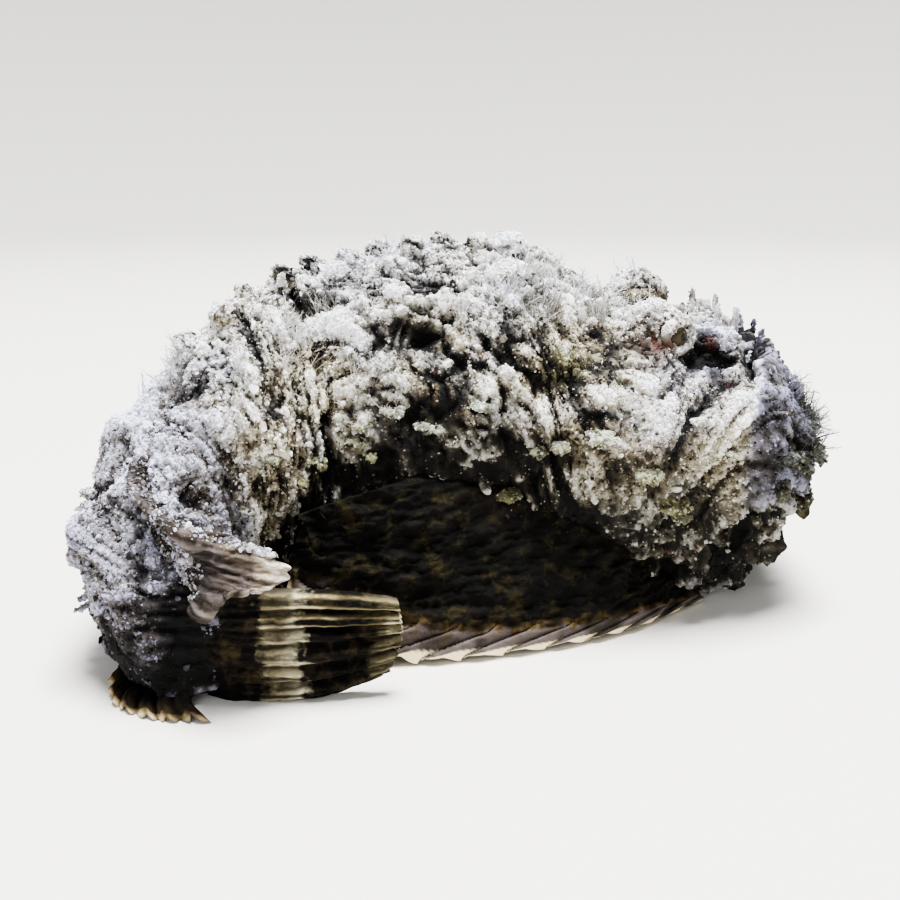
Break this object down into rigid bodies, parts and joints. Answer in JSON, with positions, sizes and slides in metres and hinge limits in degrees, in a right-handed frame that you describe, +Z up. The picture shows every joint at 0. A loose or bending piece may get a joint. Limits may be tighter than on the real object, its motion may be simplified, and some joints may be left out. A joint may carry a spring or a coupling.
{
  "type": "stonefish model",
  "caption": "Life-size still model of a reef stonefish resting on the floor, warty and crusted, with its tail curled round to its right side.",
  "frame": {"origin": "middle of the flat of the belly, on the floor", "axes": "+Z up, +X towards the head, +Y towards the fish's left side"},
  "size_m": [0.2252, 0.1681, 0.1155],
  "materials": {
    "crusted_skin": "rough warty skin crusted with pale silt and algae",
    "jaw_skin": "purplish grey warty skin, a little smoother",
    "fin_skin": "brown banded fin skin over raised rays, pale at the margin",
    "eye": "glossy dark olive eye"
  },
  "bodies": {
    "root": {"head": "crusted_skin", "lower_jaw": "jaw_skin", "eye_right": "eye", "eye_left": "eye", "trunk": "crusted_skin", "tail_front": "crusted_skin", "tail_bend": "crusted_skin", "tail_root": "crusted_skin", "dorsal_fin_spiny": "crusted_skin", "dorsal_fin_soft": "fin_skin", "anal_fin": "fin_skin", "caudal_fin": "fin_skin", "pelvic_fin_right": "fin_skin", "pelvic_fin_left": "fin_skin", "pectoral_fin_right": "fin_skin", "pectoral_fin_left": "fin_skin"}
  },
  "joints": []
}
